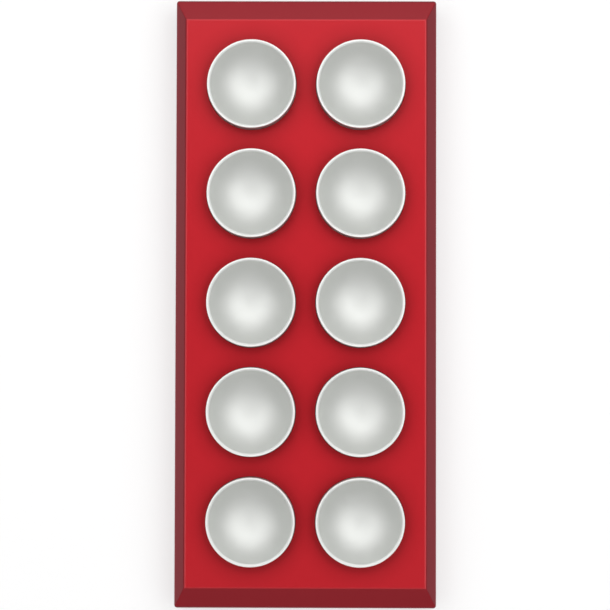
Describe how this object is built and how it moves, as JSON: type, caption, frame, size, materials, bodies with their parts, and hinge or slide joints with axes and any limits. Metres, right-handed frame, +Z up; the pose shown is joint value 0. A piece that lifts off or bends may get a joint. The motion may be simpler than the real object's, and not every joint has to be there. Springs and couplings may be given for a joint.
{
  "type": "ravioli mold",
  "caption": "Ravioli mold: a flat red anodised tablet with bevelled edges, rows of round silver cups with raised cutting rims, and a black moulded base on rubber feet",
  "frame": {"origin": "on the table under the middle of the mold, level with the undersides of the feet", "axes": "+Z up out of the bowls, +Y along the long side towards the top of the picture, +X across"},
  "size_m": [0.1318, 0.3074, 0.03],
  "materials": {
    "red_aluminium": "satin anodised",
    "silver_aluminium": "satin anodised",
    "black_plastic": "fine moulded texture",
    "rubber": "matte",
    "steel": "zinc plated"
  },
  "bodies": {
    "root": {"top_cover": "red_aluminium", "cover_bushes": "steel", "base_tray": "black_plastic", "base_screws": "steel", "cup_left_1": "silver_aluminium", "cup_left_2": "silver_aluminium", "cup_left_3": "silver_aluminium", "cup_left_4": "silver_aluminium", "cup_left_5": "silver_aluminium", "cup_right_1": "silver_aluminium", "cup_right_2": "silver_aluminium", "cup_right_3": "silver_aluminium", "cup_right_4": "silver_aluminium", "cup_right_5": "silver_aluminium", "foot_front_left": "rubber", "foot_front_right": "rubber", "foot_back_left": "rubber", "foot_back_right": "rubber"}
  },
  "joints": []
}
